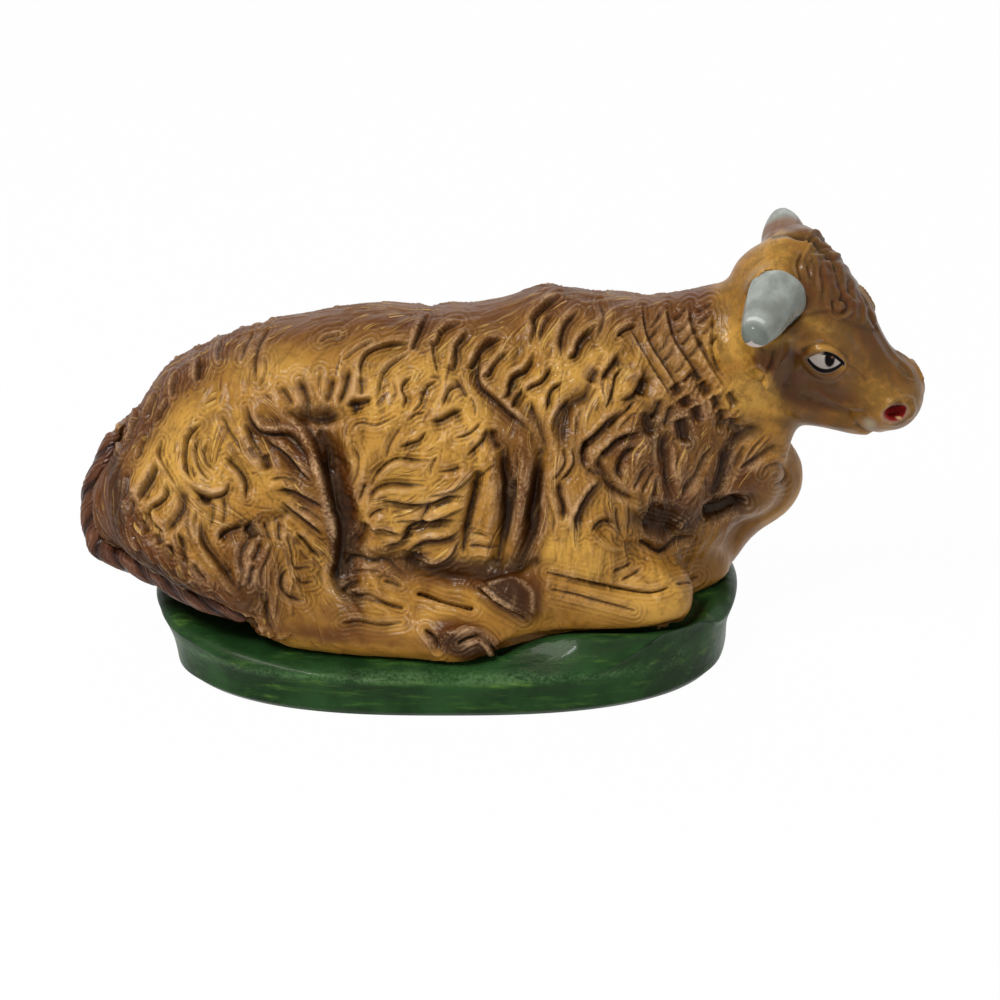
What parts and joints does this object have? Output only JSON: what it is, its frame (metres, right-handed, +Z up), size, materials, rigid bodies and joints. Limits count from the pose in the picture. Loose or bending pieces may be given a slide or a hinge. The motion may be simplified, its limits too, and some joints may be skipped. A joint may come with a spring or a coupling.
{
  "type": "animal_figurine",
  "caption": "Recumbent ox or cow figurine, painted ochre and brown with grey horns, lying on a low green mound base; stands by its own weight on any level surface",
  "frame": {"origin": "centre of the flat underside of the base", "axes": "+X from the tail to the head, -Y to the side that the picture shows, +Z up"},
  "size_m": [0.1279, 0.055, 0.067],
  "materials": {
    "painted_hide": "ochre and brown oil paint under a glossy varnish, over a white ground",
    "painted_horn": "grey paint under varnish, with small chips to the white ground",
    "pin_wire": "plain drawn wire, hidden in the horn and the head",
    "painted_base": "dark green brushed paint with yellow-green streaks under varnish"
  },
  "bodies": {
    "root": {"near_half_shell": "painted_hide", "far_half_shell": "painted_hide", "tail": "painted_hide", "near_horn": "painted_horn", "far_horn": "painted_horn", "near_horn_pin": "pin_wire", "far_horn_pin": "pin_wire", "base_mound": "painted_base"}
  },
  "joints": []
}
